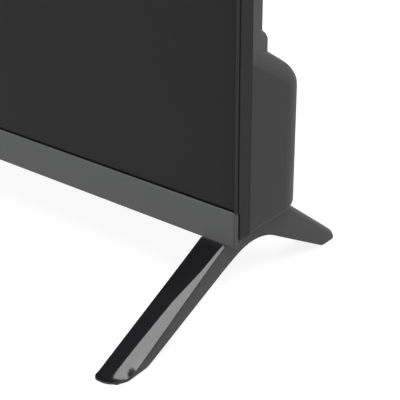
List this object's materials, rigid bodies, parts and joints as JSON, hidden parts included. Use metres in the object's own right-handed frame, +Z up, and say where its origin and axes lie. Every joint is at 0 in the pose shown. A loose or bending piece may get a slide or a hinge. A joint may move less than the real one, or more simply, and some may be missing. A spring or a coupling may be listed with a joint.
{
  "type": "flat screen tv",
  "caption": "Flat panel television with a slim bezel, grey chin strip, deep lower rear housing and wishbone feet with gloss front legs.",
  "frame": {"origin": "middle of the footprint on the floor, under the middle of the screen", "axes": "+X to the right seen from in front, +Y from the screen towards the back, +Z up; the screen faces -Y"},
  "size_m": [0.7182, 0.203, 0.4685],
  "materials": {
    "chin_grey": "fine satin mould texture",
    "bezel_grey": "satin",
    "screen_glass": "anti-glare screen surface, semi gloss",
    "frame_black": "satin",
    "films": "milky sheets",
    "diffuser": "milky, matt",
    "reflector_white": "white film",
    "tray_steel": "galvanised sheet",
    "board_green": "solder mask",
    "board_white": "white solder mask",
    "lens_clear": "clear moulding",
    "film_amber": "polyimide film",
    "ribbon_white": "flat cable",
    "chip_black": "moulded epoxy",
    "cooler_aluminium": "extruded",
    "socket_metal": "nickel plated shell",
    "socket_black": "moulded",
    "contact_brass": "plated",
    "winding_yellow": "tape over ferrite",
    "can_black": "sleeved can",
    "wire_black": "insulated wire",
    "wire_red": "insulated wire",
    "wire_white": "insulated wire",
    "screw_black": "black zinc",
    "speaker_plastic": "moulded",
    "speaker_cone": "pressed cone on a steel basket",
    "grommet_rubber": "soft",
    "key_black": "satin",
    "window_dark": "dark infrared window",
    "cover_grey": "fine mould texture",
    "insert_steel": "threaded post",
    "foot_matt": "satin mould texture",
    "foot_gloss": "high gloss",
    "pad_rubber": "matt",
    "bracket_plastic": "glass filled nylon"
  },
  "bodies": {
    "chassis": {"front_bezel": "bezel_grey", "chin_trim": "chin_grey", "lcd_panel": "screen_glass", "middle_frame": "frame_black", "ir_window": "window_dark", "ir_board": "board_green", "optical_films": "films", "diffuser_plate": "diffuser", "backlight_tray": "tray_steel", "reflector_sheet": "reflector_white", "led_bars": "board_white", "led_lenses": "lens_clear", "diffuser_supports": "reflector_white", "source_board": "board_green", "flex_films": "film_amber", "ribbon_cable": "ribbon_white", "main_board": "board_green", "main_chips": "chip_black", "main_cooler": "cooler_aluminium", "hdmi_sockets": "socket_metal", "usb_socket": "socket_metal", "audio_jacks": "socket_black", "antenna_socket": "socket_metal", "power_board": "board_green", "power_transformer": "winding_yellow", "power_capacitors": "can_black", "power_cooler": "cooler_aluminium", "ac_inlet": "socket_black", "inlet_pins": "contact_brass", "mains_leads": "wire_black", "board_harness": "wire_white", "led_harness": "wire_red", "board_screws": "insert_steel", "speaker_box_left": "speaker_plastic", "speaker_box_right": "speaker_plastic", "speaker_driver_left": "speaker_cone", "speaker_driver_right": "speaker_cone", "speaker_grommets": "grommet_rubber", "speaker_harness": "wire_black", "key_switches": "socket_black", "key_board": "board_green", "key_harness": "wire_white", "rear_cover": "cover_grey", "port_panel": "cover_grey", "inlet_plate": "cover_grey", "vesa_inserts": "insert_steel", "cover_screws": "screw_black", "foot_left": "foot_matt", "foot_right": "foot_matt", "foot_cap_left": "foot_gloss", "foot_cap_right": "foot_gloss", "foot_bracket_left": "bracket_plastic", "foot_bracket_right": "bracket_plastic", "foot_pads": "pad_rubber", "foot_screws": "screw_black"},
    "key_volume_down_body": {"key_volume_down": "key_black"},
    "key_volume_up_body": {"key_volume_up": "key_black"},
    "key_menu_body": {"key_menu": "key_black"},
    "key_source_body": {"key_source": "key_black"},
    "key_power_body": {"key_power": "key_black"}
  },
  "joints": [
    {"name": "key_volume_down_press", "type": "slide", "parent": "chassis", "child": "key_volume_down_body", "axis": [0, -1, 0], "range_m": [0, 0.0006], "stiffness_N_per_m": 1500},
    {"name": "key_volume_up_press", "type": "slide", "parent": "chassis", "child": "key_volume_up_body", "axis": [0, -1, 0], "range_m": [0, 0.0006], "stiffness_N_per_m": 1500},
    {"name": "key_menu_press", "type": "slide", "parent": "chassis", "child": "key_menu_body", "axis": [0, -1, 0], "range_m": [0, 0.0006], "stiffness_N_per_m": 1500},
    {"name": "key_source_press", "type": "slide", "parent": "chassis", "child": "key_source_body", "axis": [0, -1, 0], "range_m": [0, 0.0006], "stiffness_N_per_m": 1500},
    {"name": "key_power_press", "type": "slide", "parent": "chassis", "child": "key_power_body", "axis": [0, -1, 0], "range_m": [0, 0.0006], "stiffness_N_per_m": 1500}
  ]
}
